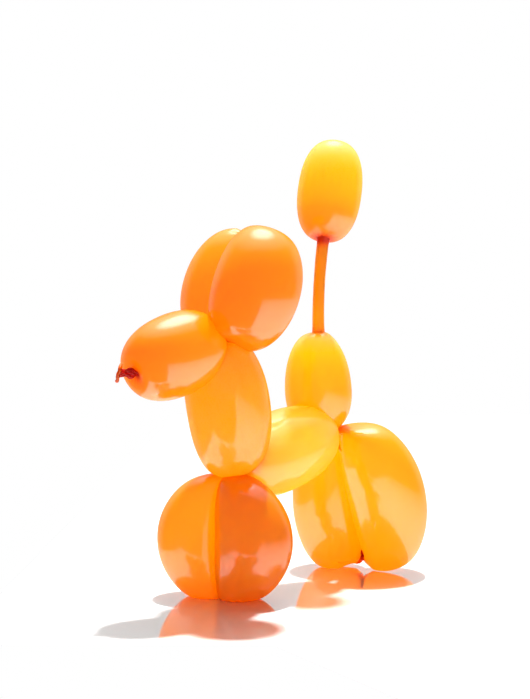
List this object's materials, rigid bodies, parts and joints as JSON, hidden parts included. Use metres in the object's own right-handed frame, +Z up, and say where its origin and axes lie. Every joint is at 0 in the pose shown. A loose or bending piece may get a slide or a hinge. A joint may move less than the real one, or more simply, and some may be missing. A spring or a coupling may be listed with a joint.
{
  "type": "twisted balloon poodle",
  "caption": "Standing poodle twisted from one long inflated modelling balloon, with a knot at the nose, puffed ears, legs and tail, and a pompom on a thin uninflated length.",
  "frame": {"origin": "on the ground, in the middle of the box around the footprint", "axes": "+Z up; the dog faces -Y; its left side is +X"},
  "size_m": [0.0939, 0.2386, 0.2787],
  "materials": {
    "orange_latex": "glossy, slightly see-through blown latex, darker red where it is twisted or holds no air"
  },
  "bodies": {
    "root": {"twisted_balloon": "orange_latex"}
  },
  "joints": []
}
